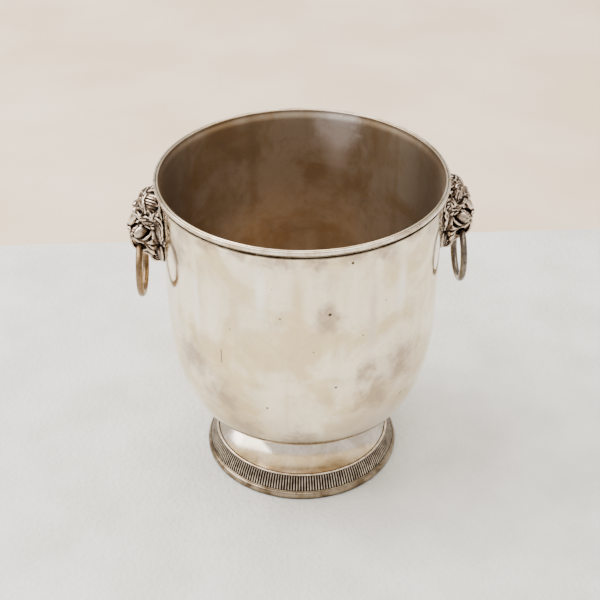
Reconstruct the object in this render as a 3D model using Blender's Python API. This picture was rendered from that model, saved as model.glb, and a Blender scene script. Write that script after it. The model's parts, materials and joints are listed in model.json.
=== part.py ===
"""Silver champagne bucket on a spun foot, with two lion-mask ring handles.

Metres, +Z up. The origin is the middle of the foot, on the table. +X runs through one mask.
Everything round is turned about Z from a half section of (radius, height) points.
"""

import math

import bmesh
import bpy
from mathutils import Matrix, Vector

MM = 0.001

# Driving dimensions
SHEET = 1.2 * MM
GAP = 0.3 * MM
SEGMENTS = 48

# Bowl: a wall with a slight outward taper over a rounded belly and a flat bottom
WALL_TOP = (96.3 * MM, 222.0 * MM)
WALL_FOOT = (95.0 * MM, 126.0 * MM)
BELLY = (80.0 * MM, 60.0 * MM)
BOTTOM_RADIUS = 42.0 * MM
BOTTOM_HEIGHT = 46.0 * MM

# Foot: a hollow spool whose outside is one quarter-round cove
COVE_CENTRE = (68.1 * MM, 43.0 * MM)
COVE_RADIUS = 26.4 * MM
COVE_START = 180
COVE_END = 256
BEAD_WIRE_CENTRE = (63.7 * MM, 17.1 * MM)
BEAD_WIRE_RADIUS = 0.65 * MM

# Masks and rings
MASK_TOP = 222.0 * MM
MOUTH_HEIGHT = 181.0 * MM
RING_RADIUS = 19.4 * MM
RING_WIRE_RADIUS = 2.35 * MM
RING_CLEARANCE = 0.45 * MM
JAW_HALF_WIDTH = 5.5 * MM

# Each handle: its half turn about Z, how much higher its mask was soldered on, how far out its
# ring hangs, and how far that ring is turned about the upright
HANDLES = {"right": (0, 1.4 * MM, 110.9 * MM, 0), "left": (180, 0.0, 111.2 * MM, -5)}


def clear_scene():
    for obj in list(bpy.data.objects):
        bpy.data.objects.remove(obj, do_unlink=True)


def metal(name, colour, roughness):
    """A Principled BSDF metal."""
    material = bpy.data.materials.new(name)
    material.use_nodes = True
    shader = material.node_tree.nodes["Principled BSDF"]
    shader.inputs["Base Color"].default_value = (*colour, 1.0)
    shader.inputs["Metallic"].default_value = 1.0
    shader.inputs["Roughness"].default_value = roughness
    return material


def mm(points):
    """Points given in millimetres, as metres."""
    return [(a * MM, b * MM) for a, b in points]


def arc(centre, radius, start, end, steps):
    """Points on a circle from one angle to another, in degrees."""
    angles = [math.radians(start + (end - start) * i / steps) for i in range(steps + 1)]
    return [(centre[0] + radius * math.cos(a), centre[1] + radius * math.sin(a)) for a in angles]


def curve(p0, p1, p2, p3, steps):
    """Points on a cubic Bezier curve, without its first point."""
    points = []
    for i in range(1, steps + 1):
        t = i / steps
        weights = ((1 - t) ** 3, 3 * t * (1 - t) ** 2, 3 * t * t * (1 - t), t ** 3)
        corners = (p0, p1, p2, p3)
        points.append(tuple(sum(w * c[k] for w, c in zip(weights, corners)) for k in (0, 1)))
    return points


def inset(points, distance):
    """The same open outline moved sideways by a distance, to the left of its direction."""
    moved = []
    last = len(points) - 1
    for i, (r, z) in enumerate(points):
        before = points[max(i - 1, 0)]
        after = points[min(i + 1, last)]
        along = Vector((after[0] - before[0], after[1] - before[1])).normalized()
        moved.append((max(r - along.y * distance, 0.0), z + along.x * distance))
    return moved


def finish_mesh(bm, name):
    """Closes the seams, faces everything outwards and gives a mesh."""
    bmesh.ops.remove_doubles(bm, verts=bm.verts, dist=1e-6)
    bmesh.ops.recalc_face_normals(bm, faces=bm.faces)
    mesh = bpy.data.meshes.new(name)
    bm.to_mesh(mesh)
    bm.free()
    mesh.shade_smooth()
    mesh.set_sharp_from_angle(angle=math.radians(40))
    return mesh


def add_object(name, mesh, material):
    obj = bpy.data.objects.new(name, mesh)
    bpy.context.scene.collection.objects.link(obj)
    if material:
        mesh.materials.append(material)
    return obj


def turned_mesh(name, outline, closed=True):
    """A half section turned once about Z. An open outline starts and ends on the axis."""
    bm = bmesh.new()
    verts = [bm.verts.new((r, 0.0, z)) for r, z in outline]
    pairs = list(zip(verts, verts[1:]))
    if closed:
        pairs.append((verts[-1], verts[0]))
    edges = [bm.edges.new(pair) for pair in pairs]
    bmesh.ops.spin(bm, geom=verts + edges, axis=(0, 0, 1), cent=(0, 0, 0), angle=math.tau,
                   steps=SEGMENTS, use_merge=True)
    return finish_mesh(bm, name)


def turned(name, outline, material, closed=True):
    return add_object(name, turned_mesh(name, outline, closed), material)


# Turned pieces

def build_bowl(material):
    """One spun shell: flat bottom, belly, wall, and a lip rolled outwards."""
    flat_end = (BOTTOM_RADIUS, BOTTOM_HEIGHT)
    outside = [(0.0, BOTTOM_HEIGHT), flat_end]
    outside += curve(flat_end, (62.0 * MM, 46.5 * MM), (74.5 * MM, 51.0 * MM), BELLY, 5)
    outside += curve(BELLY, (88.0 * MM, 73.0 * MM), (94.2 * MM, 92.0 * MM), WALL_FOOT, 6)
    outside += [WALL_TOP]
    inside = inset(outside, SHEET)
    lip = mm([(96.6, 224.5), (97.4, 226.2), (98.1, 226.8), (98.15, 228.2), (97.9, 229.1),
              (97.35, 229.4), (96.8, 229.1), (96.6, 228.3), (96.1, 226.2), (95.4, 224.2)])
    return turned("bowl", outside + lip + inside[::-1], material, closed=False)


def build_rim(material):
    """The wire round the lip, and the coved moulding under it."""
    turned("rim_wire", mm([(98.45, 226.4), (99.0, 226.0), (99.6, 226.25), (100.0, 227.1),
                           (100.0, 228.3), (99.65, 229.1), (99.0, 229.4), (98.5, 229.0)]), material)
    turned("rim_moulding", mm([(96.65, 222.6), (98.2, 222.6), (98.5, 223.1), (98.4, 223.6),
                               (97.8, 223.9), (97.7, 224.6), (98.1, 225.6), (97.45, 225.6),
                               (96.95, 224.5)]), material)


def build_foot(material, reed_material):
    """A hollow spool, with its applied bead wire, reeded band and base rim."""
    neck_top = BOTTOM_HEIGHT - GAP
    cove = arc(COVE_CENTRE, COVE_RADIUS, COVE_START, COVE_END, 9)
    back = arc(COVE_CENTRE, COVE_RADIUS + SHEET, COVE_END - 4, COVE_START, 9)
    skirt = mm([(62.9, 16.0), (67.4, 6.6), (67.4, 1.2), (66.2, 1.2), (66.2, 6.9), (61.9, 15.6)])
    outline = [(cove[0][0], neck_top)] + cove + skirt + back + [(back[-1][0], neck_top)]
    turned("foot", outline, material)
    turned("foot_bead_wire", arc(BEAD_WIRE_CENTRE, BEAD_WIRE_RADIUS, 0, 300, 5), material)
    turned("reeded_band", mm([(63.5, 15.7), (64.5, 15.8), (67.5, 11.5), (69.4, 6.5), (67.85, 6.6)]),
           reed_material)
    turned("base_rim", mm([(67.8, 0.5), (68.2, 0.0), (70.3, 0.0), (71.0, 0.6), (71.3, 1.9),
                           (71.3, 3.3), (70.9, 4.7), (70.0, 5.6), (69.2, 6.1), (67.8, 6.0)]), material)


# Masks and rings

def ellipsoid(name, centre, radii):
    """A ball stretched to three radii, all in millimetres."""
    bm = bmesh.new()
    bmesh.ops.create_uvsphere(bm, u_segments=20, v_segments=12, radius=MM)
    bmesh.ops.scale(bm, vec=radii, verts=bm.verts)
    bmesh.ops.translate(bm, vec=Vector(centre) * MM, verts=bm.verts)
    return add_object(name, finish_mesh(bm, name), None)


def slab(name, outline, half_width):
    """An outline in the XZ plane, extruded to both sides of it."""
    bm = bmesh.new()
    face = bm.faces.new([bm.verts.new((x, -half_width, z)) for x, z in outline])
    extruded = bmesh.ops.extrude_face_region(bm, geom=[face])["geom"]
    corners = [v for v in extruded if isinstance(v, bmesh.types.BMVert)]
    bmesh.ops.translate(bm, vec=(0.0, 2 * half_width, 0.0), verts=corners)
    return add_object(name, finish_mesh(bm, name), None)


def wall_cutter():
    """The bowl's wall and the moulding over the mask, a gap larger, as one turned shape."""
    slope = (WALL_TOP[0] - WALL_FOOT[0]) / (WALL_TOP[1] - WALL_FOOT[1])
    low, reach, high = 150.0 * MM, 130.0 * MM, 240.0 * MM
    radii = [WALL_FOOT[0] + slope * (z - WALL_FOOT[1]) + GAP for z in (low, MASK_TOP)]
    outline = [(0.0, low), (radii[0], low), (radii[1], MASK_TOP), (reach, MASK_TOP),
               (reach, high), (0.0, high)]
    return add_object("wall_cutter", turned_mesh("wall_cutter", outline, closed=False), None)


def ring_place(rise, reach, twist):
    """Where a ring's top strand lies in the mouth of the mask on +X."""
    return Matrix.Translation((reach, 0.0, MOUTH_HEIGHT + rise)) @ Matrix.Rotation(math.radians(twist), 4, "Z")


def ring_sweep_cutter(place):
    """The room that the ring's top needs in the mouth as it swings, as a shape turned about Y."""
    half_length = 13.5 * MM
    steps = 10
    outline = [(0.0, -half_length)]
    for i in range(steps + 1):
        y = half_length * (2 * i / steps - 1)
        drop = RING_RADIUS - math.sqrt(RING_RADIUS ** 2 - y ** 2)
        outline.append((drop + RING_WIRE_RADIUS + RING_CLEARANCE, y))
    outline.append((0.0, half_length))
    mesh = turned_mesh("ring_sweep_cutter", outline, False)
    mesh.transform(place @ Matrix.Rotation(math.radians(90), 4, "X"))
    return add_object("ring_sweep_cutter", mesh, None)


def combine(body, operation, shape):
    """One Boolean step, with its other shape hidden."""
    boolean = body.modifiers.new(shape.name, "BOOLEAN")
    boolean.operation = operation
    boolean.object = shape
    shape.hide_render = True
    shape.display_type = "WIRE"


def build_mask(name, material, half_turn, rise, reach, twist):
    """A casting: mane, cheeks, brow, muzzle, and a jaw that closes the mouth under the ring."""
    mask = ellipsoid(name, (95.0, 0.0, 197.0), (11.5, 25.0, 25.0))
    jaw = mm([(100, 190), (117.5, 190), (118.2, 184), (116.6, 178.6), (111.5, 175.0),
              (105, 170.5), (100, 167)])
    mouth = mm([(106.8, 179.0), (109, 177.9), (113.2, 178.1), (115.6, 180.5), (116, 184.5),
                (112, 186.3), (108, 184)])
    joined = [ellipsoid("cheeks", (96.0, 0.0, 178.0), (9.0, 17.0, 17.0)),
              ellipsoid("brow", (101.0, 0.0, 204.0), (12.0, 15.0, 15.0)),
              ellipsoid("muzzle", (108.0, 0.0, 192.0), (12.0, 11.0, 9.5)),
              slab("jaw", jaw, JAW_HALF_WIDTH)]
    cast = joined + [mask, slab("mouth_cutter", mouth, 30 * MM)]
    for shape in cast:
        shape.data.transform(Matrix.Translation((0.0, 0.0, rise)))
    for shape in joined:
        combine(mask, "UNION", shape)
    for shape in (cast[-1], ring_sweep_cutter(ring_place(rise, reach, twist)), wall_cutter()):
        combine(mask, "DIFFERENCE", shape)
    mask.data.materials.append(material)
    # The cutters stand on +X, so the casting is made there and turned afterwards
    depsgraph = bpy.context.evaluated_depsgraph_get()
    mask.data = bpy.data.meshes.new_from_object(mask.evaluated_get(depsgraph))
    mask.modifiers.clear()
    mask.rotation_euler = (0.0, 0.0, math.radians(half_turn))


def build_ring(name, material, half_turn, rise, reach, twist):
    """A wire ring that hangs in a mouth. Its origin is on its hinge axis, which is its own Y."""
    bm = bmesh.new()
    upright = Matrix.Rotation(math.radians(90), 4, "X")
    section = bmesh.ops.create_circle(bm, segments=8, radius=RING_WIRE_RADIUS, matrix=upright)["verts"]
    bmesh.ops.spin(bm, geom=section + list(bm.edges), axis=(1, 0, 0), cent=(0, 0, -RING_RADIUS),
                   angle=math.tau, steps=32, use_merge=True)
    ring = add_object(name, finish_mesh(bm, name), material)
    ring.matrix_world = Matrix.Rotation(math.radians(half_turn), 4, "Z") @ ring_place(rise, reach, twist)


clear_scene()
silver = metal("silver_plate", (0.62, 0.57, 0.51), 0.24)
reeds = metal("reeded_silver", (0.42, 0.37, 0.32), 0.30)
cast = metal("cast_silver_patina", (0.34, 0.29, 0.26), 0.34)
worn = metal("worn_gilt_silver", (0.42, 0.32, 0.22), 0.26)
build_bowl(silver)
build_rim(silver)
build_foot(silver, reeds)
for side, handle in HANDLES.items():
    build_mask("lion_mask_" + side, cast, *handle)
    build_ring("ring_" + side, worn, *handle)
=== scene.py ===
# %% [markdown]
# # A silver champagne bucket with lion-mask handles
#
# The real bucket is silver-plated brass. Its bowl and foot are spun from sheet, its borders are
# drawn or rolled strip soldered on, and its two lion masks are castings that hold a loose ring
# in the mouth. This lesson makes each of those pieces as its own mesh, in the place that the
# CAD frame gives it, and then gives each metal surface the finish that age has left on it.

# %% Load the frame
import json
import math

import bmesh
import bpy
import numpy as np
from mathutils import Euler, Matrix, Vector
from mathutils.bvhtree import BVHTree


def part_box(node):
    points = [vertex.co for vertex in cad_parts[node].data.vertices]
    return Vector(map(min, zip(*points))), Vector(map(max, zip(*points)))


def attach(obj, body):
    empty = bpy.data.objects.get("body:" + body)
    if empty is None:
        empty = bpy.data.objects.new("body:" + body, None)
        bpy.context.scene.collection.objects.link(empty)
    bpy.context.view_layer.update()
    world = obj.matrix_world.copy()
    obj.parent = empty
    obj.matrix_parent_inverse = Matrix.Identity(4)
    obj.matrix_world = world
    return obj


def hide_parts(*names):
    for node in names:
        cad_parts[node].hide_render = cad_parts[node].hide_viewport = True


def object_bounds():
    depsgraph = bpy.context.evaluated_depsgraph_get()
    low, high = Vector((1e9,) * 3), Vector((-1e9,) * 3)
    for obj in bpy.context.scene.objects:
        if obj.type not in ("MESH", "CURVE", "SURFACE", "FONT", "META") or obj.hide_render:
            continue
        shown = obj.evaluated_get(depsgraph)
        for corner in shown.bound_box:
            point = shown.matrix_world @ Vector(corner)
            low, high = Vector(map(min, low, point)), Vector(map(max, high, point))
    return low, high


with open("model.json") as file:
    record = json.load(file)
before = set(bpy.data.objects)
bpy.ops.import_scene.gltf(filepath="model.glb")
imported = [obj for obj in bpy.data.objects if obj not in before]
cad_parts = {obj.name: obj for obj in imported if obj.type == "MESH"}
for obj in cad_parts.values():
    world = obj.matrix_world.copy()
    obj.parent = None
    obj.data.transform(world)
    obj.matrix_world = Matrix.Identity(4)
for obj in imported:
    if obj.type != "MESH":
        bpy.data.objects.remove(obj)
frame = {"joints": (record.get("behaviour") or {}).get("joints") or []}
cad_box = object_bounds()
MM = 0.001

# %% [markdown]
# ## Sizes that the frame gives
#
# Every outline below is measured from a few faces of the CAD pieces: the rim's outer edge and
# crest, the bowl's wall and bottom, and the foot's edge. If the design changed, the pieces here
# would follow it.

# %% Read the driving sizes
RIM_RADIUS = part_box("rim_wire")[1][0]
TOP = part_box("rim_wire")[1][2]
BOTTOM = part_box("bowl")[0][2]
MOULDING_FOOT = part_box("rim_moulding")[0][2]
FOOT_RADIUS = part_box("base_rim")[1][0]
WALL_RADIUS = RIM_RADIUS - 3.7 * MM
WALL_TOP = TOP - 7.4 * MM
TAPER = 1.3 / 96
BELLY_TOP = 126 * MM
SHEET = 1.2 * MM
print(f"rim {RIM_RADIUS / MM:.1f} mm, height {TOP / MM:.1f} mm, foot {FOOT_RADIUS / MM:.1f} mm")

# %% [markdown]
# ## Turning a piece
#
# Sheet spun on a lathe has one half section all the way round, so the operator for it is a full
# spin of an outline about Z. The seam and the poles are closed by merging doubles, and then the
# normals are recalculated, because a spin can turn the shape inside out.

# %% Outlines: arcs and Bezier curves
def arc(centre, radius, start, end, steps):
    """Points on a circle between two angles in degrees."""
    angles = np.radians(np.linspace(start, end, steps + 1))
    return [(centre[0] + radius * math.cos(a), centre[1] + radius * math.sin(a)) for a in angles]


def bezier(corners, steps):
    """Points on a cubic Bezier curve, without its first one."""
    p = np.array(corners, float)
    t = np.linspace(0, 1, steps + 1)[1:, None]
    points = (1 - t) ** 3 * p[0] + 3 * t * (1 - t) ** 2 * p[1] + 3 * t * t * (1 - t) * p[2] + t ** 3 * p[3]
    return [tuple(q) for q in points]


def inset(points, distance):
    """An open outline moved to the left of its direction."""
    p = np.array(points, float)
    along = np.gradient(p, axis=0)
    along /= np.linalg.norm(along, axis=1)[:, None]
    moved = p + distance * np.stack([-along[:, 1], along[:, 0]], axis=1)
    return [(max(r, 0.0), z) for r, z in moved]


# %% A full spin of an outline
def add_piece(name, bm, smooth_angle=40):
    """Makes an object of a bmesh, shaded smooth up to an angle."""
    mesh = bpy.data.meshes.new(name)
    bm.to_mesh(mesh)
    bm.free()
    mesh.shade_smooth()
    mesh.set_sharp_from_angle(angle=math.radians(smooth_angle))
    obj = bpy.data.objects.new(name, mesh)
    bpy.context.scene.collection.objects.link(obj)
    print(f"{name}: {len(mesh.polygons)} faces")
    return obj


def turn(name, outline, closed=True, steps=256):
    """Spins a half section once about Z. An open one starts and ends on the axis."""
    bm = bmesh.new()
    verts = [bm.verts.new((r, 0, z)) for r, z in outline]
    edges = [bm.edges.new(pair) for pair in zip(verts, verts[1:])]
    if closed:
        edges.append(bm.edges.new((verts[-1], verts[0])))
    bmesh.ops.spin(bm, geom=verts + edges, axis=(0, 0, 1), cent=(0, 0, 0), angle=math.tau,
                   steps=steps, use_merge=True)
    bmesh.ops.remove_doubles(bm, verts=bm.verts, dist=1e-6)
    bmesh.ops.recalc_face_normals(bm, faces=bm.faces)
    return add_piece(name, bm)


def from_top(points):
    """Points given in millimetres inwards from the rim's edge and down from its crest."""
    return [(RIM_RADIUS - inwards * MM, TOP - down * MM) for inwards, down in points]


def from_floor(points):
    """Points given in millimetres inwards from the foot's edge and up from the table."""
    return [(FOOT_RADIUS - inwards * MM, up * MM) for inwards, up in points]


# %% [markdown]
# ## The bowl
#
# One shell: a flat bottom, a round belly, a wall that leans out by little more than a
# millimetre, and a lip turned over outwards. A solidify modifier could thicken a single skin, but
# the lip needs its own shape, so the whole section is drawn. The outside comes first. The inside
# is the same curve, one sheet thickness in, so the wall is even, as spun metal is.

# %% Draw and turn the bowl
def wall_radius(height):
    """The outside of the wall at a height. It leans out by TAPER for each unit of height."""
    return WALL_RADIUS + TAPER * (height - WALL_TOP)


def bowl_outside():
    """From the middle of the bottom, round the belly and up the wall to its top."""
    belly_top = (wall_radius(BELLY_TOP), BELLY_TOP)
    belly = (80 * MM, BOTTOM + 14 * MM)
    flat = (42 * MM, BOTTOM)
    points = [(r * MM, BOTTOM) for r in (0, 10, 20, 31)] + [flat]
    points += bezier([flat, (62 * MM, BOTTOM + 0.5 * MM), (74.5 * MM, BOTTOM + 5 * MM), belly], 20)
    points += bezier([belly, (88 * MM, BOTTOM + 27 * MM), (94.2 * MM, BOTTOM + 46 * MM), belly_top], 24)
    points += [(wall_radius(z), z) for z in np.linspace(BELLY_TOP, WALL_TOP, 13)[1:]]
    return points


outside = bowl_outside()
LIP = 0.85 * MM
lip = from_top([(3.5, 5.2), (3.0, 3.6), (2.3, 3.0), (1.9, 2.5)])
lip += arc((RIM_RADIUS - 3 * LIP, TOP - LIP), LIP, -10, 190, 16)
lip += from_top([(3.45, 2.0), (3.9, 3.2), (4.4, 4.6), (4.75, 6.0)])
bowl = turn("bowl_shell", outside + lip + inset(outside, SHEET)[::-1], closed=False)

# %% [markdown]
# ## The rim's wire and moulding
#
# A bead of drawn wire is soldered round the turned lip, so the rim shows two beads with a fine
# dark line between them. Under it lies a small coved strip that ends in a thin bead. A bevelled
# curve would make plain round wire, but both strips have flat backs, so each is turned from its
# own section.

# %% Turn the rim wire and the moulding
RIM_WIRE = 0.92 * MM
wire = arc((RIM_RADIUS - RIM_WIRE, TOP - 0.95 * MM), RIM_WIRE, 0, 175, 14)
wire += from_top([(1.84, 2.2), (1.7, 3.2), (1.1, 3.5), (0.35, 3.0), (0.05, 2.1)])
rim_wire = turn("rim_wire_bead", wire)
moulding = [(WALL_RADIUS - 0.1 * MM, MOULDING_FOOT + 0.05 * MM)]
moulding += arc((RIM_RADIUS - 2.1 * MM, MOULDING_FOOT + 0.62 * MM), 0.6 * MM, -90, 80, 10)
moulding += from_top([(2.35, 5.3), (2.45, 4.6), (2.2, 3.9), (1.8, 3.4), (2.6, 3.2), (3.4, 4.4)])
rim_moulding = turn("rim_coved_moulding", moulding)
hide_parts("bowl")
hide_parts("rim_wire")
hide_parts("rim_moulding")

# %% [markdown]
# ## The foot
#
# The foot is a hollow spool: a quarter-round cove from a narrow neck out to the border, with a
# straight skirt behind the border that carries it. The cove could be a Bezier curve, but it was
# spun over a round former, so it is drawn as one arc, and its inside as another, one sheet away.

# %% Turn the spool
COVE_CENTRE = (FOOT_RADIUS - 3.2 * MM, 43 * MM)
COVE_RADIUS = 26.4 * MM
neck_top = BOTTOM + 0.2 * MM
cove = arc(COVE_CENTRE, COVE_RADIUS, 180, 257, 36)
back = arc(COVE_CENTRE, COVE_RADIUS + SHEET, 251, 180, 32)
skirt = from_floor([(8.6, 16.2), (3.9, 6.4), (3.9, 1.2), (5.1, 1.2), (5.1, 6.9), (9.6, 15.4)])
spool = [(cove[0][0] + 1.2 * MM, neck_top), (cove[0][0] + 0.2 * MM, neck_top - 1.2 * MM)] + cove
spool += skirt + back + [(back[-1][0], neck_top)]
foot = turn("foot_spool", spool)
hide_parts("foot")

# %% [markdown]
# ## The foot's wire and base rim
#
# A bright wire closes the cove's lower edge. The base rim is a heavy half-round strip that
# takes the wear of the table, with a fine bead of its own where it meets the reeds. Both could be
# folds of the foot's outline, but as pieces of their own they leave the fine gaps where grime
# settles.

# %% Turn the wire and the base rim
bead_wire = turn("foot_bright_wire", arc((FOOT_RADIUS - 7.75 * MM, 16.95 * MM), 0.8 * MM, 0, 345, 14))
fine_bead = arc((FOOT_RADIUS - 2.0 * MM, 6.0 * MM), 0.5 * MM, -30, 200, 10)
base = from_floor([(3.5, 0.4), (3.1, 0), (1.0, 0), (0.45, 0.35), (0.1, 1.1), (0.0, 2.0), (0.0, 3.0),
                   (0.15, 3.9), (0.5, 4.7), (1.0, 5.25), (1.3, 5.4)])
base += fine_bead + from_floor([(2.8, 5.5), (3.5, 5.8)])
base_rim = turn("base_half_round", base)
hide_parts("foot_bead_wire")
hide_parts("base_rim")

# %% [markdown]
# ## The reeded border
#
# The border was rolled with upright reeds, about two millimetres apart. One reed is made from
# a short spin of the strip's section, its front is pushed into a half round, and a spin with
# duplicates sets the copies round the foot. Each point also keeps its relief, from 0 in the
# groove to 1 on the crest, which the finish reads later. An array modifier could set the copies
# too, but it needs a helper object to turn them, and a spin doesn't.

# %% Make one reed and set it round the foot
REED_PITCH = 2 * MM
BAND_RADIUS = FOOT_RADIUS - 4.1 * MM
reed_count = round(math.tau * BAND_RADIUS / (REED_PITCH * 0.995))
reed_angle = math.tau / reed_count
REED_DEPTH = 0.85 * MM
COLUMNS = 6


def reed_section():
    """The strip's half section, front first: a slightly rounded slope and a flat back."""
    corners = from_floor([(7.3, 16.0), (5.3, 13.6), (3.6, 10.2), (2.3, 6.7)])
    return corners[:1] + bezier(corners, 7), from_floor([(3.8, 6.5), (8.3, 15.9)])


def reeded_band():
    """One reed, pushed into a half round and then repeated round the foot."""
    front, rear = reed_section()
    bm = bmesh.new()
    verts = [bm.verts.new((r, 0, z)) for r, z in front + rear]
    edges = [bm.edges.new(pair) for pair in zip(verts, verts[1:] + verts[:1])]
    is_front = {round(z / MM, 3) for r, z in front[1:-1]}
    bmesh.ops.spin(bm, geom=verts + edges, axis=(0, 0, 1), cent=(0, 0, 0), angle=reed_angle, steps=COLUMNS)
    relief = bm.verts.layers.float.new("relief")
    for vert in bm.verts:
        radius = math.hypot(vert.co.x, vert.co.y)
        across = 2 * math.atan2(vert.co.y, vert.co.x) / reed_angle - 1
        round_share = math.sqrt(max(1 - across * across, 0))
        vert[relief] = 1 - across * across
        if round(vert.co.z / MM, 3) in is_front:
            sunk = REED_DEPTH * (1 - round_share)
            vert.co.x *= 1 - sunk / radius
            vert.co.y *= 1 - sunk / radius
    bmesh.ops.spin(bm, geom=list(bm.verts) + list(bm.edges) + list(bm.faces), axis=(0, 0, 1),
                   cent=(0, 0, 0), angle=math.tau - reed_angle, steps=reed_count - 1, use_duplicate=True)
    bmesh.ops.remove_doubles(bm, verts=bm.verts, dist=2e-6)
    bmesh.ops.recalc_face_normals(bm, faces=bm.faces)
    return add_piece("reeded_border", bm, 55)


border = reeded_band()
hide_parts("reeded_band")
print(f"{reed_count} reeds")

# %% [markdown]
# ## The lion masks
#
# Both masks were cast in brass from one pattern, so one pattern is modelled here. A casting is
# one skin over many swellings. It is built the same way: balls for the skull, brow, muzzle and
# cheeks and tapered tubes for the locks of hair, all overlapping, and then a voxel remesh melts
# them into a single closed surface. The pattern faces +X and is drawn in millimetres.

# %% Balls for the face
# The wall's radius behind the pattern, and the height of the pattern's own mouth, in millimetres.
WALL_AT_MASK = wall_radius(195 * MM) / MM
PATTERN_HINGE_HEIGHT = 181.0


def ball(bm, centre, radii, turned=(0, 0, 0), mirrored=True):
    """An ellipsoid in millimetres: x out from the bucket's axis, y across the face, z up."""
    for side in ((1, -1) if mirrored else (1,)):
        made = bmesh.ops.create_uvsphere(bm, u_segments=32, v_segments=20, radius=1)["verts"]
        bmesh.ops.scale(bm, vec=radii, verts=made)
        rx, ry, rz = (math.radians(a) for a in turned)
        bmesh.ops.rotate(bm, cent=(0, 0, 0), matrix=Euler((rx * side, ry, rz * side)).to_matrix(), verts=made)
        bmesh.ops.translate(bm, vec=(centre[0], centre[1] * side, centre[2]), verts=made)


def lion_face():
    """The solid forms, from the shield behind the face to the tip of the nose."""
    bm = bmesh.new()
    ball(bm, (92.5, 0, 199), (7.6, 21, 22), mirrored=False)
    ball(bm, (92.5, 0, 178), (7.6, 11, 15), mirrored=False)
    ball(bm, (99.0, 0, 212.0), (9.6, 13, 9.5), mirrored=False)
    ball(bm, (100.0, 0, 203), (10, 12, 12), mirrored=False)
    ball(bm, (100.4, 0, 191), (8.8, 11.0, 12.5), mirrored=False)
    ball(bm, (109.8, 3.8, 207.6), (4.0, 3.7, 3.4), (0, 35, 15))
    ball(bm, (106.4, 8.0, 206.6), (3.4, 3.6, 2.2), (-20, 18, 30))
    ball(bm, (105.6, 7.4, 201.8), (2.2, 2.3, 2.1))
    ball(bm, (114.4, 0, 200.6), (9.4, 3.0, 2.7), (0, 62, 0), mirrored=False)
    ball(bm, (117.3, 0, 193.6), (2.8, 3.3, 2.4), (0, 20, 0), mirrored=False)
    ball(bm, (116.6, 2.5, 192.8), (2.0, 1.7, 1.8))
    ball(bm, (113.4, 3.2, 191.8), (5.0, 3.6, 3.4), (0, 30, 10))
    ball(bm, (108.4, 7.0, 193.6), (6.8, 3.2, 4.6), (0, 12, 26))
    ball(bm, (104.0, 8.2, 186.5), (4.8, 3.4, 6.5), (0, 20, 20))
    ball(bm, (114.6, 0, 190.0), (3.0, 3.0, 3.0), mirrored=False)
    ball(bm, (100.4, 0, 171.6), (4.4, 5.0, 5.0), mirrored=False)
    ball(bm, (98.0, 14.0, 208.5), (3.4, 3.0, 3.8), (-28, 0, 20))
    return bm


# %% [markdown]
# ## Strands: hair, brows and lips
#
# A lock of hair is a handful of strands that lie side by side, bend together and run to one
# point. Each strand is a spline with its own radius at every point, and all the splines share
# one curve object, whose bevel makes them tubes. A ray cast drops each strand onto the forms of
# the face. The brows, eyelids and lips are single strands, because the chaser's punch leaves
# them as ridges too.

# %% Dropping points onto the face
# How far from the bucket's axis the head's middle line is, and the rays' start, in millimetres.
HEAD_CORE = 96.0
IN_FRONT = 140.0


class Form:
    """The face's solid forms, to lay strands on."""

    def __init__(self, bm):
        self.tree = BVHTree.FromBMesh(bm)

    def over(self, y, z, lift):
        """The point straight in front of a place on the face or on the wall, raised by lift."""
        start = Vector((IN_FRONT, y, z))
        struck = self.tree.ray_cast(start, Vector((-1, 0, 0)))[0]
        wall = math.sqrt(max(WALL_AT_MASK ** 2 - y * y, 0))
        return Vector(((max(struck.x, wall) if struck else wall) + lift, y, z))

    def around(self, point, lift):
        """The outermost point on the line from the head's core through a point, raised by lift."""
        point = Vector(point)
        outwards = (point - Vector((HEAD_CORE, 0, point.z))).normalized()
        struck = self.tree.ray_cast(point + outwards * 30, -outwards)[0]
        return (struck or point) + outwards * lift


# %% Strands and locks
def strand(curve, points, radii):
    """One spline, with a place and a radius in millimetres at each point."""
    spline = curve.splines.new("POLY")
    spline.points.add(len(points) - 1)
    for point, place, radius in zip(spline.points, points, radii):
        point.co = (*place, 1)
        point.radius = radius


def ridge(curve, form, corners, thick, thin=0.35, sunk=0.35):
    """One strand on both sides of the face, along a Bezier curve, laid on the forms if they are given."""
    steps = 14
    path = [tuple(corners[0])] + bezier(corners, steps)
    radii = [thin + (thick - thin) * math.sin(math.pi * i / steps) ** 0.6 for i in range(steps + 1)]
    points = [form.around(p, r * (1 - sunk)) for p, r in zip(path, radii)] if form else path
    for side in (1, -1):
        strand(curve, [(x, y * side, z) for x, y, z in points], radii)


def lock(curve, form, path, width, strands=4, steps=18):
    """path(t) gives y, z and lift for t from 0 to 1. The strands fan across it to one tip."""
    middle = [path(i / steps) for i in range(steps + 1)]
    for s in range(strands):
        offset = (s - (strands - 1) / 2) * width * 0.5
        points, radii = [], []
        for i, (y, z, lift) in enumerate(middle):
            before, after = middle[max(i - 1, 0)], middle[min(i + 1, steps)]
            along = Vector((after[0] - before[0], after[1] - before[1])).normalized()
            fullness = math.sin(math.pi * (0.15 + 0.83 * i / steps)) ** 0.8
            shift = offset * fullness
            points.append(form.over(y + along.y * shift, z - along.x * shift, lift))
            radii.append(width * (0.08 + 0.20 * fullness))
        for _ in range(3):
            depths = [points[0].x] + [p.x for p in points] + [points[-1].x]
            for i, point in enumerate(points):
                point.x = (depths[i] + 2 * depths[i + 1] + depths[i + 2]) / 4
        strand(curve, points, radii)


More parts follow.
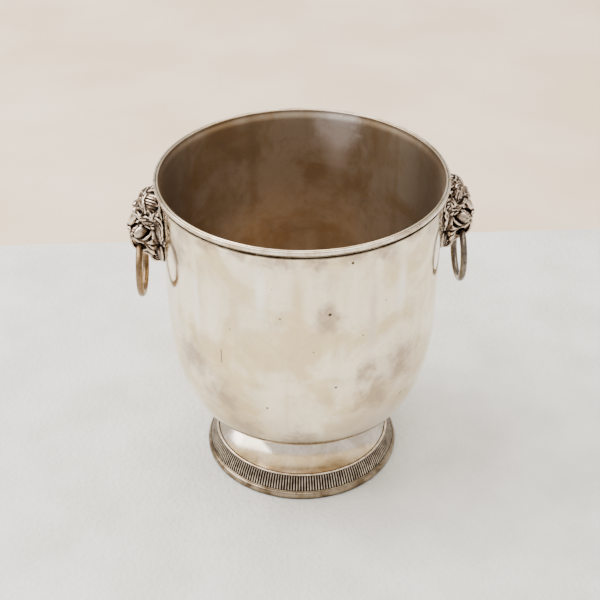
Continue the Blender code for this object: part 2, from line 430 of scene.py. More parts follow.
# %% The mane, the side locks and the beard
def mane_path(angle, inner, outer, lift, curl):
    """A lock that leaves the face at an angle from straight up and hooks round at its end."""
    def path(t):
        bearing = angle + curl * (0.3 * math.sin(math.pi * t) + 0.7 * t ** 2.5)
        bearing += 0.13 * math.sin(3 * math.pi * t + 5 * angle)
        reach = inner + (outer - inner) * (1 - (1 - t) ** 1.6) - 5 * max(t - 0.8, 0)
        return reach * math.sin(bearing), 201 + reach * math.cos(bearing), lift + 0.9 * math.sin(math.pi * t)
    return path


def lion_hair(curve, form):
    """Four rows of locks, from the outermost ones to the short ones on the forehead."""
    for side in (1, -1):
        for i in range(8):
            uneven = math.sin(7.3 * i + side)
            angle = math.radians(3 + 12.5 * i + 3 * uneven) * side
            lock(curve, form, mane_path(angle, 13, 22.6 - 0.4 * i + 0.8 * uneven, 0.5, 0.42 * side), 2.7)
        for i in range(6):
            uneven = math.sin(5.1 * i + 2 * side)
            angle = math.radians(9 + 14 * i + 4 * uneven) * side
            lock(curve, form, mane_path(angle, 9.5, 18.5 + uneven, 1.4, -0.50 * side), 2.5)
        for i in range(4):
            uneven = math.sin(3.7 * i + 3 * side)
            angle = math.radians(4 + 17 * i + 4 * uneven) * side
            lock(curve, form, mane_path(angle, 7.5, 14.0 + uneven, 1.2, 0.60 * side), 2.2)
        for i in range(3):
            angle = math.radians(10 + 20 * i) * side
            lock(curve, form, mane_path(angle, 6.5, 10.5, 0.8, -0.70 * side), 1.8)


def hanging_hair(curve, form):
    """Long strands down the side of the head that kick forward, and the beard under the jaw."""
    for i in range(7):
        x, z = 103.4 - 1.05 * i, 199.6 - 0.5 * i
        ridge(curve, form, [(x, 11.6, z), (x - 1.2, 13.0, z - 6), (x - 1.6, 13.0, 187.5 - 0.3 * i),
                            (x + 2.6, 11.6, 186.6 - 0.4 * i)], 0.80, 0.3, 0.15)
    for i in range(6):
        x, z = 104.0 - 1.2 * i, 184.0 - 0.3 * i
        ridge(curve, form, [(x, 11.0, z), (x - 2.4, 12.0, z - 4), (x - 2.0, 9.0, z - 10 - 0.4 * i),
                            (x + 1.6 - 0.4 * i, 7.0, z - 9.5 - 1.1 * i)], 1.0, 0.4, 0.05)
    for i in range(5):
        x, z = 105.0 - i, 174.5 - 1.2 * i
        ridge(curve, form, [(x, 2.6, z), (x + 1.0, 3.8, z - 2.5), (x - 1.5, 3.6, z - 4.5),
                            (x - 3.0, 1.0, z - 5.0)], 1.0, 0.4, 0.3)


# Each ridge of the face: its thickness in millimetres, and the corners of its Bezier curve.
FACE_RIDGES = {
    "forehead fold": (0.95, (113, 1.2, 211.4), (112, 4.0, 212.0), (109, 7.4, 211.0), (105, 10.6, 208.6)),
    "brow": (1.2, (114, 2.4, 206.4), (111.5, 5.0, 205.0), (108, 8.4, 204.2), (104, 11.4, 205.4)),
    "nose edge": (0.8, (114, 2.4, 206.6), (112, 3.6, 202.6), (112.6, 4.2, 199.0), (115.0, 3.6, 195.6)),
    "upper lid": (0.6, (108.4, 5.2, 202.2), (108.0, 6.8, 204.6), (106.6, 8.8, 204.2), (104.0, 10.0, 201.6)),
    "lower lid": (0.6, (108.4, 5.2, 201.6), (107.8, 6.8, 199.4), (106.2, 8.8, 199.4), (104.0, 10.0, 201.0)),
    "nostril": (0.7, (119.4, 1.4, 194.6), (118.8, 4.4, 194.8), (116.2, 5.0, 193.2), (116.4, 3.4, 190.9)),
    "cheek": (0.8, (113.6, 4.6, 196.6), (110.4, 9.6, 199.0), (105.4, 11.6, 199.6), (102.8, 11.8, 195.0)),
    "jowl": (0.9, (103.0, 11.6, 197.0), (104.6, 11.6, 191.0), (106.6, 10.6, 189.2), (109.0, 9.6, 188.8)),
}


def lion_ridges(curve, form):
    """The face's ridges, then three whisker folds and the long upper lip with its edge."""
    for thick, *corners in FACE_RIDGES.values():
        ridge(curve, form, corners, thick)
    for drop in (0, 1.7, 3.4):
        ridge(curve, form, [(115.4 - drop * 0.2, 5.2, 193.4 - drop), (113.4, 7.6, 193.0 - drop),
                            (111.6, 8.8, 192.8 - drop), (109.6, 9.6, 193.0 - drop)], 0.4, 0.2, 0.7)
    ridge(curve, None, [(117.4, 1.6, 188.4), (113.6, 7.6, 189.0), (107.6, 9.4, 187.0), (102.0, 9.6, 176.4)],
          2.5, 1.0)
    ridge(curve, None, [(118.0, 1.2, 189.6), (114.4, 7.8, 190.6), (108.6, 10.8, 189.4), (102.0, 11.4, 181.6)],
          1.1, 0.6)


def strands_over(form):
    """All the strands as one mesh of tubes."""
    curve = bpy.data.curves.new("strands", "CURVE")
    curve.dimensions = "3D"
    curve.bevel_depth = 1.0
    curve.bevel_resolution = 3
    curve.use_fill_caps = True
    lion_hair(curve, form)
    hanging_hair(curve, form)
    lion_ridges(curve, form)
    obj = bpy.data.objects.new("strands", curve)
    bpy.context.scene.collection.objects.link(obj)
    tubes = evaluated_mesh(obj)
    bpy.data.objects.remove(obj)
    return tubes


# %% [markdown]
# ## The mouth
#
# The ring's top strand passes through the mouth from side to side, and the jaw closes the mouth
# below it. The room that the strand needs as it swings is a shape turned about the hinge: the
# further out from the middle of the mouth, the more the ring's curve drops away from the hinge.

# %% The jaw, the mouth's hollow and the ring's room
RING_WIRE = (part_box("ring_right")[1][0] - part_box("ring_right")[0][0]) / 2
RING_REACH = (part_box("ring_right")[1][2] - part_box("ring_right")[0][2]) / 2 - RING_WIRE


def evaluated_mesh(obj):
    """The mesh that an object has once its curves or modifiers are worked out."""
    depsgraph = bpy.context.evaluated_depsgraph_get()
    return bpy.data.meshes.new_from_object(obj.evaluated_get(depsgraph))


def slab(bm, outline, half_width):
    """An outline in the XZ plane, extruded to both sides of it."""
    face = bm.faces.new([bm.verts.new((x, -half_width, z)) for x, z in outline])
    made = bmesh.ops.extrude_face_region(bm, geom=[face])["geom"]
    moved = [v for v in made if isinstance(v, bmesh.types.BMVert)]
    bmesh.ops.translate(bm, vec=(0, 2 * half_width, 0), verts=moved)


def jaw_outline():
    """From the front lip, down round the jaw to the chin, and back along the mouth's floor."""
    outer = bezier([(118.2, 188.5), (119.4, 182.0), (116.0, 177.0), (110.5, 175.0)], 10)
    chin = bezier([(110.5, 175.0), (107.5, 173.6), (104.5, 171.5), (100.0, 169.5)], 5)
    floor_line = bezier([(100.0, 178.0), (106.0, 178.2), (108.5, 177.0), (111.5, 177.7)], 6)
    lip_back = bezier([(111.5, 177.7), (115.2, 178.8), (117.2, 182.0), (116.4, 188.5)], 8)
    return [(118.2, 188.5)] + outer + chin + [(100.0, 178.0)] + floor_line + lip_back


def mouth_outline():
    """The hollow of the mouth: its roof, its back, its floor and the inside of the lip."""
    roof = bezier([(116.6, 185.2), (114.0, 187.4), (110.0, 186.4), (107.2, 181.5)], 8)
    back_line = bezier([(107.2, 181.5), (106.6, 180.0), (106.4, 179.0), (107.0, 178.4)], 4)
    floor_line = bezier([(107.0, 178.4), (109.0, 177.2), (112.0, 177.2), (114.0, 178.6)], 5)
    lip_line = bezier([(114.0, 178.6), (115.8, 180.0), (116.9, 182.8), (116.6, 185.2)], 6)
    return roof + back_line + floor_line + lip_line


def ring_room(clearance=0.4 * MM, half_length=14.0 * MM, steps=24):
    """The half section, about the hinge, of what the ring's top sweeps."""
    across = np.linspace(-half_length, half_length, steps + 1)
    drop = RING_REACH - np.sqrt(RING_REACH ** 2 - across ** 2)
    return [(0, -half_length)] + list(zip(drop + RING_WIRE + clearance, across)) + [(0, half_length)]


# %% [markdown]
# ## Melting the pattern together
#
# A voxel remesh turns the overlapping balls and tubes into one closed skin with a point every
# 0.4 millimetres, which is about as fine as sand casting and chasing hold.

# %% Melt the pattern
VOXEL = 0.4


def melted_pattern():
    """The balls, the strands and the jaw, melted into one skin and scaled to metres."""
    bm = lion_face()
    strands = strands_over(Form(bm))
    slab(bm, jaw_outline(), 4.6)
    bm.from_mesh(strands)
    bmesh.ops.remove_doubles(bm, verts=bm.verts, dist=1e-4)
    bmesh.ops.recalc_face_normals(bm, faces=bm.faces)
    pattern = add_piece("mask_pattern", bm)
    melt = pattern.modifiers.new("melt", "REMESH")
    melt.mode = "VOXEL"
    melt.voxel_size = VOXEL
    polish = pattern.modifiers.new("polish", "SMOOTH")
    polish.factor = 0.5
    polish.iterations = 1
    mesh = evaluated_mesh(pattern)
    bpy.data.objects.remove(pattern)
    mesh.transform(Matrix.Scale(MM, 4))
    return mesh


pattern_mesh = melted_pattern()
print(f"melted pattern: {len(pattern_mesh.polygons)} faces")

# %% [markdown]
# ## Fitting each casting
#
# The two castings were soldered on by hand, so one sits a little higher than the other, and each
# mouth was filed out for its own ring. The joint of each ring says where its mouth is. The back
# is cut to the bucket's wall and under the moulding, and then the mouth is opened.

# %% Cut and place the masks
def ring_joint(node):
    """The place and the axis of the hinge that a ring swings on, both as vectors."""
    joint = next(j for j in frame["joints"] if j["child"] == node)
    return Vector(joint["pos_m"]), Vector(joint["axis"]).normalized()


def wall_and_moulding():
    """The bucket's wall and what lies above the mask, as one turned cutter."""
    low, high, far = 150 * MM, MOULDING_FOOT - 0.1 * MM, 130 * MM
    gap = 0.15 * MM
    outline = [(0, low), (wall_radius(low) - gap, low), (wall_radius(high) - gap, high), (far, high),
               (far, TOP + 10 * MM), (0, TOP + 10 * MM)]
    return turn("wall_cutter", outline, closed=False)


def mouth_cutter(place):
    """The mouth's hollow, wide enough to open both corners of the mouth."""
    bm = bmesh.new()
    slab(bm, mouth_outline(), 30)
    bmesh.ops.recalc_face_normals(bm, faces=bm.faces)
    cutter = add_piece("mouth_cutter", bm)
    cutter.data.transform(place @ Matrix.Scale(MM, 4))
    return cutter


def ring_room_cutter(hinge, axis):
    """The room that the ring sweeps, turned about its hinge."""
    cutter = turn("ring_room_cutter", ring_room(), closed=False, steps=64)
    cutter.data.transform(Matrix.Translation(hinge) @ axis.to_track_quat("Z", "X").to_matrix().to_4x4())
    return cutter


def delete_crumbs(mesh):
    """Deletes the loose crumbs that a cut can leave, and keeps the casting."""
    bm = bmesh.new()
    bm.from_mesh(mesh)
    unseen = set(bm.verts)
    parts = []
    while unseen:
        part, front = set(), {unseen.pop()}
        while front:
            part |= front
            front = {edge.other_vert(vert) for vert in front for edge in vert.link_edges} - part
        unseen -= part
        parts.append(part)
    parts.sort(key=len)
    bmesh.ops.delete(bm, geom=[vert for part in parts[:-1] for vert in part], context="VERTS")
    bm.to_mesh(mesh)
    bm.free()


def fitted_mask(name, node, ring_node):
    """One casting, set on its side of the bucket at its ring's height."""
    hinge, axis = ring_joint(ring_node)
    side = Matrix.Rotation(0 if hinge.x > 0 else math.pi, 4, "Z")
    place = Matrix.Translation((0, 0, hinge.z - PATTERN_HINGE_HEIGHT * MM)) @ side
    mask = bpy.data.objects.new(name, pattern_mesh.copy())
    bpy.context.scene.collection.objects.link(mask)
    mask.data.transform(place)
    cutters = [wall_and_moulding(), mouth_cutter(place), ring_room_cutter(hinge, axis)]
    for cutter in cutters:
        cut = mask.modifiers.new(cutter.name, "BOOLEAN")
        cut.operation = "DIFFERENCE"
        cut.object = cutter
    mesh = evaluated_mesh(mask)
    delete_crumbs(mesh)
    mask.modifiers.clear()
    mask.data = mesh
    mesh.shade_smooth()
    # The melted nose can end a hair outside the CAD's box, so it is drawn back to it.
    for vertex in mesh.vertices:
        vertex.co.x = min(max(vertex.co.x, cad_box[0][0]), cad_box[1][0])
    for cutter in cutters:
        bpy.data.objects.remove(cutter)
    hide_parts(node)
    print(f"{name}: {len(mesh.polygons)} faces, raised by {place.translation.z / MM:.1f} mm")
    return mask


mask_right = fitted_mask("lion_mask_on_right", "lion_mask_right", "ring_right")
mask_left = fitted_mask("lion_mask_on_left", "lion_mask_left", "ring_left")


# %% [markdown]
# ## Hollows and crests
#
# On a casting, patina stays in the hollows and wears off the crests. The Geometry node has a
# pointiness that tells them apart, but only one render engine works it out. Here a copy of the
# surface is smoothed, and each point stores how far it lies above or below that smooth form.

# %% Mark the hollows for the patina
def mark_hollows(mesh, rounds=14, depth=0.35 * MM):
    """Writes how far each point lies under (0) or over (1) the smoothed form around it."""
    points = np.array([v.co for v in mesh.vertices])
    normals = np.array([v.normal for v in mesh.vertices])
    edges = np.array([e.vertices[:] for e in mesh.edges])
    ends, others = np.concatenate([edges[:, 0], edges[:, 1]]), np.concatenate([edges[:, 1], edges[:, 0]])
    count = np.maximum(np.bincount(ends, minlength=len(points)), 1)
    form = points.copy()
    for _ in range(rounds):
        form = np.stack([np.bincount(ends, weights=form[others, k], minlength=len(points)) / count
                         for k in range(3)], axis=1)
    height = ((points - form) * normals).sum(axis=1)
    relief = mesh.attributes.new("relief", "FLOAT", "POINT")
    relief.data.foreach_set("value", np.clip(0.5 + height / depth / 2, 0, 1))


for mask in (mask_right, mask_left):
    mark_hollows(mask.data)
    print(f"{mask.name}: relief on {len(mask.data.vertices)} points")

# %% [markdown]
# ## The rings
#
# Each ring is a piece of round wire bent to a circle and brazed. Blender has a torus of its own,
# but the turning function already takes a wire's radius and its reach. So each ring is turned
# about Z like everything else, and then stood up in its place, across its own hinge. The left
# one hangs a few degrees askew.

# %% Turn two rings
def hanging_ring(name, node):
    """A ring that hangs straight down from its hinge."""
    hinge, axis = ring_joint(node)
    ring = turn(name, arc((RING_REACH, 0), RING_WIRE, 0, 350, 35), steps=160)
    upright = axis.cross(Vector((0, 0, 1)))
    stand = Matrix((axis, (0, 0, 1), upright)).transposed().to_4x4()
    ring.data.transform(Matrix.Translation(hinge - Vector((0, 0, RING_REACH))) @ stand)
    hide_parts(node)
    return ring


ring_right = hanging_ring("ring_on_right", "ring_right")
ring_left = hanging_ring("ring_on_left", "ring_left")

# %% [markdown]
# ## Riding
#
# Everything soldered to the bowl rides with the bucket. Each ring rides on its own body, so it
# swings with its hinge. Nothing is keyed by hand, because the frame moves each body, and with it
# every piece that rides on it.

# %% Tie the pieces to the bodies
soldered = (bowl, rim_wire, rim_moulding, foot, bead_wire, base_rim, border, mask_right, mask_left)
for piece in soldered:
    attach(piece, "bucket")
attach(ring_right, "ring_right")
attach(ring_left, "ring_left")
print(f"{len(soldered)} pieces ride on the bucket, and each ring on its own body")

# %% [markdown]
# ## Finishes
#
# A finish is a Principled BSDF whose colour, roughness and bump come from noise of known sizes.
# Painted images would need unwrapped meshes, and noise in Object coordinates doesn't. Colours
# are written as sRGB hex and turned to linear light by one function. One more function adds a
# node with its settings and its links.

# %% Colour, size and node helpers
def linear(hex_colour):
    """An sRGB colour, written #RRGGBB, as linear light with an alpha of 1."""
    channels = [int(hex_colour[i:i + 2], 16) / 255 for i in (1, 3, 5)]
    return [c / 12.92 if c <= 0.04045 else ((c + 0.055) / 1.055) ** 2.4 for c in channels] + [1.0]


def add(tree, kind, inputs=None, **settings):
    """Adds one node. inputs gives sockets by name or number: a value, or another node's output."""
    node = tree.nodes.new("ShaderNode" + kind)
    for key, value in settings.items():
        setattr(node, key, value)
    for key, value in (inputs or {}).items():
        if isinstance(value, bpy.types.NodeSocket):
            tree.links.new(value, node.inputs[key])
        else:
            node.inputs[key].default_value = value
    return node


def every(size_mm):
    """The scale of a pattern whose features are this far apart."""
    return 1 / (size_mm * MM)


def new_finish(name):
    """A new material, its node tree, its shader and its places in Object coordinates."""
    material = bpy.data.materials.new(name)
    material.use_nodes = True
    tree = material.node_tree
    return material, tree, tree.nodes["Principled BSDF"], add(tree, "TexCoord").outputs["Object"]


# Sockets by number. A Mix node that mixes colours takes the first three and gives the fourth. A
# Map Range node carries the range from FROM_LOW to FROM_HIGH over to TO_LOW to TO_HIGH.
FACTOR, COLOUR_A, COLOUR_B, MIXED = 0, 6, 7, 2
FROM_LOW, FROM_HIGH, TO_LOW, TO_HIGH = 1, 2, 3, 4
print("middle grey in linear light:", [round(c, 3) for c in linear("#808080")[:3]])

# %% [markdown]
# ## Tarnish and painted light in layers
#
# Tarnish, grime and stains lie over the clean metal like glazes, so a finish starts with one
# colour and lays others over it, each where some pattern is high. Painted shade, sheen and
# reflection streaks are laid on in the same way. Polish never reaches the creases, and little
# light does, so beside every bead and reed there is a dark line, painted as grime and shade
# together. An ambient occlusion node finds those: it is dark where other metal is within one to
# three millimetres. Noise can't put a stain, a pit or a patch of painted shade in one certain
# spot, so those are placed by a bearing and a height.

# %% Layers, creases and spots
def lay_over(tree, under, over, pattern, low, high, most=1.0):
    """Lays a colour over another, from nothing where the pattern is low to most where it is high."""
    share = add(tree, "MapRange", {"Value": pattern, FROM_LOW: low, FROM_HIGH: high, TO_HIGH: most},
                interpolation_type="SMOOTHSTEP")
    colours = [linear(c) if isinstance(c, str) else c for c in (under, over)]
    mixed = add(tree, "Mix", {FACTOR: share.outputs[0], COLOUR_A: colours[0], COLOUR_B: colours[1]},
                data_type="RGBA")
    return mixed.outputs[MIXED]


def lay_grime_and_shade_in_creases(tree, under, grime_and_shade, reach_mm, deep, open_metal):
    """Lays grime and painted shade where the ambient light falls from open_metal's share to deep's."""
    sky = add(tree, "AmbientOcclusion", {"Distance": reach_mm * MM}, samples=6).outputs["AO"]
    return lay_over(tree, under, grime_and_shade, sky, open_metal, deep)


def on_bowl(bearing, height):
    """A point of the bowl's outside, from a bearing in degrees and a height in millimetres."""
    heights, radii = zip(*[(z, r) for r, z in outside[4:]])
    radius = float(np.interp(height * MM, heights, radii))
    angle = math.radians(bearing)
    return (radius * math.cos(angle), radius * math.sin(angle), height * MM)


def spots_at(tree, place, spots, softness):
    """1 inside any of the spots, each given as bearing, height and radius, and 0 outside them."""
    total = 0.0
    for bearing, height, radius in spots:
        away = add(tree, "VectorMath", {0: place, 1: on_bowl(bearing, height)}, operation="DISTANCE")
        outer, inner = radius * MM * (1 + softness), radius * MM * (1 - softness)
        share = add(tree, "MapRange", {"Value": away.outputs["Value"], FROM_LOW: outer, FROM_HIGH: inner},
                    interpolation_type="SMOOTHSTEP")
        total = add(tree, "Math", {0: share.outputs[0], 1: total}, operation="MAXIMUM").outputs[0]
    return total


def blurred_place(tree, place, size_mm, reach_mm):
    """The place, pushed about by a cloud pattern, so that a round spot gets a ragged edge."""
    warp = add(tree, "TexNoise", {"Vector": place, "Scale": every(size_mm), "Detail": 4.0}).outputs["Color"]
    reach = (2 * reach_mm * MM,) * 3
    centred = add(tree, "VectorMath", {0: warp, 1: (0.5, 0.5, 0.5)}, operation="SUBTRACT").outputs[0]
    return add(tree, "VectorMath", {0: centred, 1: reach, 2: place}, operation="MULTIPLY_ADD").outputs[0]


# %% [markdown]
# ## Silver plate on brass, spun and hand polished
#
# Old silver plate isn't grey. Thin sulphide turns it cream, then straw, then mauve brown where
# hands and cloths don't reach, in clouds a few centimetres wide and in soft upright streaks
# from the polishing cloth. The polish is bright but not flat: buffing leaves shallow waves, and
# use leaves hairlines and small dark pits.

# %% Patterns and bands
def plate_patterns(tree, place, cloud_mm):
    """The noise patterns that plate is made of, each with its own size."""
    upright = add(tree, "Mapping", {"Vector": place, "Scale": (1, 1, 0.14)}).outputs[0]
    patterns = {}
    for pattern, vector, size, detail, rough in (
            ("cloud", place, cloud_mm, 5.0, 0.62), ("blotch", place, cloud_mm * 0.5, 6.0, 0.7),
            ("streak", upright, cloud_mm * 0.34, 3.0, 0.5), ("mottle", place, 4.5, 6.0, 0.75),
            ("wave", place, 26, 2.0, 0.4), ("hair", upright, 0.8, 2.0, 0.5)):
        made = add(tree, "TexNoise", {"Vector": vector, "Scale": every(size), "Detail": detail,
                                      "Roughness": rough, "Distortion": 0.5})
        patterns[pattern] = made.outputs["Fac"]
    return patterns


def lay_bands(tree, place, colour, bands):
    """Lays soft upright ovals of a tint, each round a bearing and between two heights: tarnish on the belly,
    painted reflection streaks on the wall, painted shade and sheen inside.
    """
    for bearing, half_width, low, high, tint in bands:
        squeeze = 2 * half_width / (high - low)
        x, y, z = on_bowl(bearing, (low + high) / 2)
        squeezed = add(tree, "Mapping", {"Vector": place, "Scale": (1, 1, squeeze)}).outputs[0]
        away = add(tree, "VectorMath", {0: squeezed, 1: (x, y, z * squeeze)}, operation="DISTANCE")
        colour = lay_over(tree, colour, tint, away.outputs["Value"], half_width * MM, 0, 0.8)
    return colour


# %% Plate finish
# The darkest colour below is laid in the creases, as grime and painted shade together.
PIT, SPECK, GRIME_AND_SHADE = "#4A3B30", "#5C4C42", "#241A12"
SPECK_SPACING = 13
HAIRLINE = 0.004 * MM


def plate(name, clean, straw, mauve, roughness, wave_mm, cloud_mm=38, wear=0.8, stains_shade_and_sheen=(),
          stain_shade_and_sheen_tint="#A8917C", bands=(), pits=(), crease=(1.6, 0.45, 0.85), metallic=1.0):
    """roughness is the brightest's and the dullest's, and wear is how much straw lies on the clean."""
    material, tree, shader, place = new_finish(name)
    patterns = plate_patterns(tree, place, cloud_mm)
    colour = lay_over(tree, clean, straw, patterns["cloud"], 0.40, 0.64, wear)
    colour = lay_over(tree, colour, straw, patterns["streak"], 0.46, 0.74, wear * 0.5)
    colour = lay_over(tree, colour, mauve, patterns["blotch"], 0.52, 0.74, wear * 0.7)
    colour = lay_over(tree, colour, mauve, patterns["mottle"], 0.48, 0.78, 0.35)
    colour = lay_bands(tree, place, colour, bands)
    # Real stains, and spots of painted light in the same tint: painted shade under the rim outside, a painted
    # sheen inside.
    if stains_shade_and_sheen:
        spread = spots_at(tree, blurred_place(tree, place, 14, 15), stains_shade_and_sheen, 0.85)
        broken = add(tree, "Math", {0: spread, 1: patterns["mottle"]}, operation="MULTIPLY")
        colour = lay_over(tree, colour, stain_shade_and_sheen_tint, broken.outputs[0], 0.0, 0.6, 0.85)
    if pits:
        colour = lay_over(tree, colour, PIT, spots_at(tree, place, pits, 0.5), 0, 1)
    specks = add(tree, "TexVoronoi", {"Vector": place, "Scale": every(SPECK_SPACING), "Randomness": 1.0})
    colour = lay_over(tree, colour, SPECK, specks.outputs["Distance"], 0.045, 0.022, 0.75)
    # Grime and painted shade in the creases, where ambient occlusion finds other metal close by.
    colour = lay_grime_and_shade_in_creases(tree, colour, GRIME_AND_SHADE, *crease)
    tree.links.new(colour, shader.inputs["Base Color"])
    dulled = add(tree, "MapRange", {"Value": patterns["blotch"], FROM_LOW: 0.35, FROM_HIGH: 0.75,
                                    TO_LOW: roughness[0], TO_HIGH: roughness[1]})
    tree.links.new(dulled.outputs[0], shader.inputs["Roughness"])
    shader.inputs["Metallic"].default_value = metallic
    buffed = add(tree, "Bump", {"Height": patterns["wave"], "Distance": wave_mm * MM, "Strength": 1.0})
    scratched = add(tree, "Bump", {"Height": patterns["hair"], "Distance": HAIRLINE, "Strength": 1.0,
                                   "Normal": buffed.outputs[0]})
    tree.links.new(scratched.outputs[0], shader.inputs["Normal"])
    print(f"{name}: {len(tree.nodes)} nodes")
    return material


# %% Where the bowl is stained and pitted, and where shade, sheen and reflections are painted on it
# Each stain, pit and painted spot has a bearing in degrees, a height and a radius in millimetres.
# Each band has a bearing, half its width, its lowest and highest point, and its tint.
WALL_STAINS = [(-50, 122, 17), (-62, 104, 15), (-68, 125, 10), (-146, 122, 15), (-129, 96, 13),
               (-84, 176, 9), (-95, 62, 16), (-120, 70, 14), (-153, 200, 12), (40, 110, 22), (128, 150, 20)]
# Painted shade and dark reflection in a ring just under the rim, laid on as spots in the stain tint.
SHADE_UNDER_RIM = [(bearing, 221, 9 + 3 * math.sin(bearing)) for bearing in range(-180, 180, 15)]
WALL_PITS = [(-75.3, 216, 1.0), (-83.8, 179, 1.2), (-80.8, 119, 0.8), (-109, 100, 0.8), (-46.6, 91, 0.9),
             (-103, 176, 0.6), (-90, 150, 0.5), (-124, 160, 0.5), (-70, 158, 0.6), (-60, 180, 0.5)]
SCRATCH = [(-128.7, 140 - 1.4 * i, 0.55) for i in range(8)]
# Painted reflection streaks on the wall: the near-white bands are painted highlights, the straw and grey ones
# painted darker reflections.
WALL_REFLECTION_BANDS = [(-110.5, 6, 160, 226, "#FFFDF4"), (-96, 8, 150, 230, "#D9C193"), (-141, 5, 120, 226, "#FFF9EC"),
              (-52, 7, 150, 226, "#FBF3EA"), (-122, 6, 130, 220, "#DECBA6"), (-66, 6, 120, 215, "#D8C6B4")]
BELLY_BANDS = [(-125, 48, 20, 125, "#CDB384"), (-62, 40, 20, 115, "#D6C4AE"), (60, 45, 20, 120, "#D6C09A")]
# A painted sheen: a pale patch on the far inner wall, near the rim.
INSIDE_SHEEN = [(70, 216, 15), (64, 222, 9)]
# Inside, the two wide dark bands are painted shade on the side walls, the pale band at 70 degrees is a
# painted sheen, and the two narrow bands are painted reflection streaks.
INSIDE_SHADE_AND_SHEEN_BANDS = [(166, 60, 40, 330, "#6E5A49"), (10, 62, 40, 330, "#5C4B3E"), (108, 8, 120, 330, "#8A745C"),
                (70, 15, 160, 282, "#DDD2CB"), (48, 7, 120, 330, "#9B8670")]

# %% Five states of the plate
# Each crease setting is the reach in millimetres and the two shares of open light between which grime and
# painted shade are laid. The outside also gets painted shade under the rim and painted reflection streaks;
# the inside gets painted shade on its sides and a painted sheen.
silver_outside = plate("spun_silver_plate", "#F8EBD3", "#DBC390", "#C9B19C", (0.10, 0.24), 0.3,
                       stains_shade_and_sheen=WALL_STAINS + SHADE_UNDER_RIM, bands=BELLY_BANDS + WALL_REFLECTION_BANDS,
                       pits=WALL_PITS + SCRATCH)
silver_inside = plate("tarnished_plate_with_painted_shade_and_sheen", "#AA9985", "#937857", "#837061", (0.28, 0.42), 0.3, 46, 0.95,
                      stains_shade_and_sheen=INSIDE_SHEEN, stain_shade_and_sheen_tint="#E6DCD8", bands=INSIDE_SHADE_AND_SHEEN_BANDS, crease=(1.2, 0.2, 0.6),
                      metallic=0.72)
silver_rim = plate("rubbed_silver_plate", "#F4E8D8", "#C4AA8A", "#86705F", (0.12, 0.24), 0.04, 14, 0.9,
                   crease=(2.2, 0.55, 0.98))
silver_foot = plate("foot_silver_plate", "#F3EAE0", "#CDBDA8", "#938578", (0.15, 0.28), 0.06, 26, 0.9,
                    crease=(1.2, 0.3, 0.8))
# The moulding and the base rim are tarnished and also darkened as painted shade: the moulding for the shadow
# under the rim wire, the base rim for the dark reflection along its front.
silver_grimed_and_shaded = plate("grimed_and_shaded_silver_plate", "#A6957F", "#67553F", "#453930", (0.12, 0.3), 0.04, 16, 0.95,
                      crease=(3.0, 0.5, 0.95))


# %% Put the plate on its pieces
def put_on(piece, finish):
    """Gives a whole piece one finish."""
    piece.data.materials.clear()
    piece.data.materials.append(finish)


for piece in (rim_wire, bead_wire):
    put_on(piece, silver_rim)
for piece in (rim_moulding, base_rim):
    put_on(piece, silver_grimed_and_shaded)
put_on(foot, silver_foot)
put_on(bowl, silver_outside)
bowl.data.materials.append(silver_inside)


# %% Tell the bowl's inside from its outside
def is_inside(polygon):
    """True on the faces that look at the bowl's axis, or up from its bottom."""
    centre = polygon.center
    radial = Vector((centre.x, centre.y, 0)).normalized()
    low_floor = centre.z < TOP / 2 and polygon.normal.z > 0.3
    return polygon.normal.dot(radial) < -0.35 or low_floor


for polygon in bowl.data.polygons:
    polygon.material_index = 1 if is_inside(polygon) else 0
print("faces inside the bowl:", sum(polygon.material_index for polygon in bowl.data.polygons))

# %% [markdown]
# ## Cast and patinated silver
#
# Castings keep their patina. Polish reaches the high points and leaves the hollows nearly black,
# with brown on the slopes between. The relief written on each mask and reed tells the finish
# which is which. The rings have no relief, so there the clouds alone decide.

# %% Patina on the masks, the reeds and the rings
def patinated(name, bright, brown, black, roughness, polish_from, has_relief=True, cloud_mm=5,
              crease=(1.4, 0.25, 0.8)):
    """polish_from is the relief, from 0 to 1, where black turns brown. A little higher it is bright."""
    material, tree, shader, place = new_finish(name)
    cloud = add(tree, "TexNoise", {"Vector": place, "Scale": every(cloud_mm), "Detail": 5.0,
                                   "Roughness": 0.65}).outputs["Fac"]
    relief = add(tree, "Attribute", attribute_name="relief").outputs["Fac"] if has_relief else 0.5
    uneven = add(tree, "Math", {0: cloud, 1: 0.5, 2: relief}, operation="MULTIPLY_ADD").outputs[0]
    dull, polished = polish_from + 0.41, polish_from + 0.61
    colour = lay_over(tree, black, brown, uneven, polish_from + 0.17, polish_from + 0.39)
    colour = lay_over(tree, colour, bright, uneven, dull, polished)
    # Black in the creases by ambient occlusion: painted shade, with the patina of the hollows.
    colour = lay_grime_and_shade_in_creases(tree, colour, black, *crease)
    tree.links.new(colour, shader.inputs["Base Color"])
    rough = add(tree, "MapRange", {"Value": uneven, FROM_LOW: dull, FROM_HIGH: polished,
                                   TO_LOW: roughness[1], TO_HIGH: roughness[0]})
    tree.links.new(rough.outputs[0], shader.inputs["Roughness"])
    shader.inputs["Metallic"].default_value = 1.0
    grain = add(tree, "TexNoise", {"Vector": place, "Scale": every(0.9), "Detail": 3.0}).outputs["Fac"]
    bump = add(tree, "Bump", {"Height": grain, "Distance": 0.05 * MM, "Strength": 1.0})
    tree.links.new(bump.outputs[0], shader.inputs["Normal"])
    print(f"{name}: {len(tree.nodes)} nodes")
    return material


